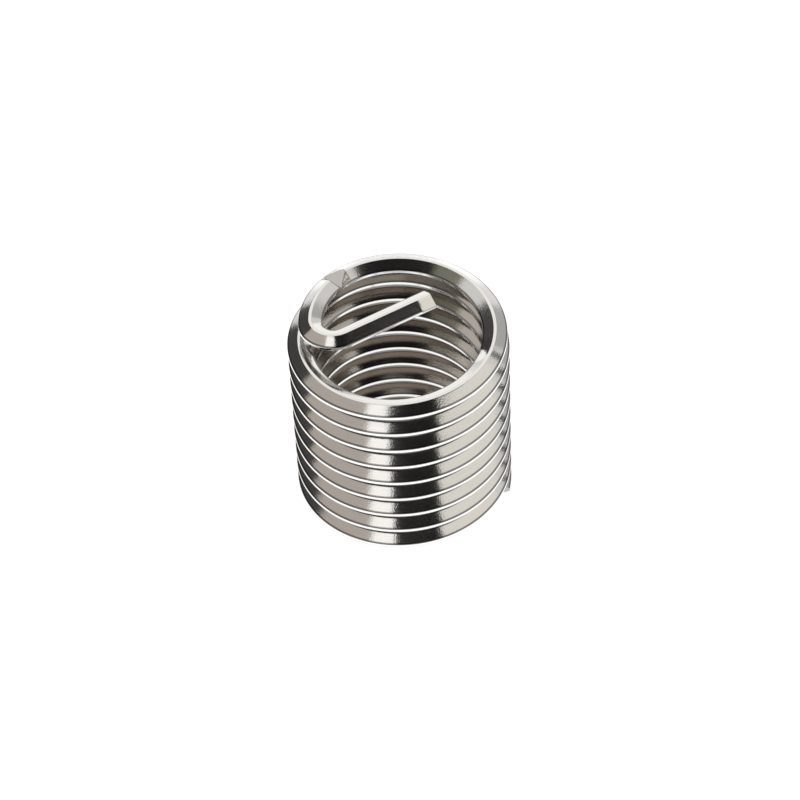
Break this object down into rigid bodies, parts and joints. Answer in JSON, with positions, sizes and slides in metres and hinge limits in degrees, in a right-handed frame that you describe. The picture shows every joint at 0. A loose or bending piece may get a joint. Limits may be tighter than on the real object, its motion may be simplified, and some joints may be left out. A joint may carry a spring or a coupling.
{
  "type": "helical thread insert",
  "caption": "Coiled wire insert of diamond section that gives a tapped hole a new internal thread, with a driving tang folded across one end and a notch where it snaps off.",
  "frame": {"origin": "on the coil's axis, at the bottom of its first turn, which it stands on", "axes": "+Z along the coil's axis, up towards the tang; the wire's start is 13.7 degrees below +X and it winds right-handed going up"},
  "size_m": [0.0192, 0.0192, 0.0213],
  "materials": {
    "wire": "bright drawn stainless steel"
  },
  "bodies": {
    "root": {"thread_insert": "wire"}
  },
  "joints": []
}
